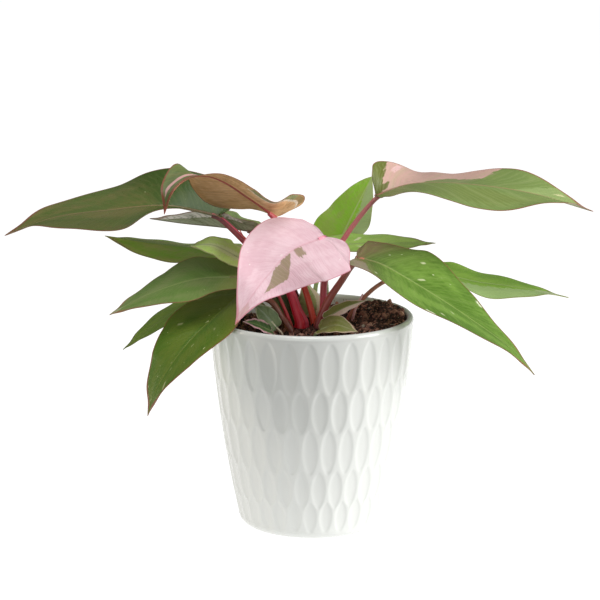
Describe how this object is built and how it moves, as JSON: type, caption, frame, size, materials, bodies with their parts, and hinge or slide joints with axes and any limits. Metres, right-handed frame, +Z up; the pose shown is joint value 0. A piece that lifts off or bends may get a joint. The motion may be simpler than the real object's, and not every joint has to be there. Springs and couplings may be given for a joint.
{
  "type": "potted pink princess philodendron",
  "caption": "Bushy philodendron with glossy green leaves splashed with pink, on red petioles, growing in a round white glazed pot with rows of scallops.",
  "frame": {"origin": "centre of the pot's flat base, on the surface that it stands on", "axes": "+Z up; -Y towards the front, where the largest pink leaf hangs; the longest leaves reach out along -X and +X"},
  "size_m": [0.4073, 0.1435, 0.2503],
  "materials": {
    "glaze": "glossy white glaze",
    "soil": "loose dark bark and peat mix",
    "stem": "matt brown stem",
    "maroon": "smooth dark maroon stalk",
    "crimson": "smooth crimson stalk",
    "rose": "smooth rose stalk",
    "sage": "soft grey-green leaf",
    "pink": "satin pink leaf",
    "green": "satin green leaf",
    "deep": "satin dark green leaf",
    "olive": "satin olive leaf",
    "bronze": "satin bronze leaf"
  },
  "bodies": {
    "root": {"pot": "glaze", "stem": "stem", "red_shoot": "crimson", "pink_shoot": "pink", "far_left_leaf": "olive", "far_left_petiole": "maroon", "left_back_leaf": "sage", "left_back_petiole": "maroon", "twisted_leaf": "bronze", "twisted_petiole": "crimson", "pink_leaf": "pink", "pink_petiole": "crimson", "far_right_leaf": "green", "far_right_petiole": "rose", "upright_leaf": "green", "upright_petiole": "sage", "right_back_leaf": "green", "right_back_petiole": "sage", "front_right_leaf": "green", "front_right_petiole": "maroon", "right_leaf": "green", "right_petiole": "rose", "left_rear_leaf": "green", "left_rear_petiole": "sage", "small_left_leaf": "green", "small_left_petiole": "sage", "left_leaf": "green", "left_petiole": "maroon", "low_left_leaf": "green", "low_left_petiole": "sage", "front_left_leaf": "green", "front_left_petiole": "maroon", "young_round_leaf": "green", "young_round_petiole": "sage", "young_rolled_leaf": "green", "young_rolled_petiole": "sage", "young_left_leaf": "deep", "young_left_petiole": "sage", "young_upright_leaf": "deep", "young_upright_petiole": "sage", "young_middle_leaf": "sage", "young_middle_petiole": "sage", "young_dark_leaf": "deep", "young_dark_petiole": "sage", "soil": "soil"}
  },
  "joints": []
}
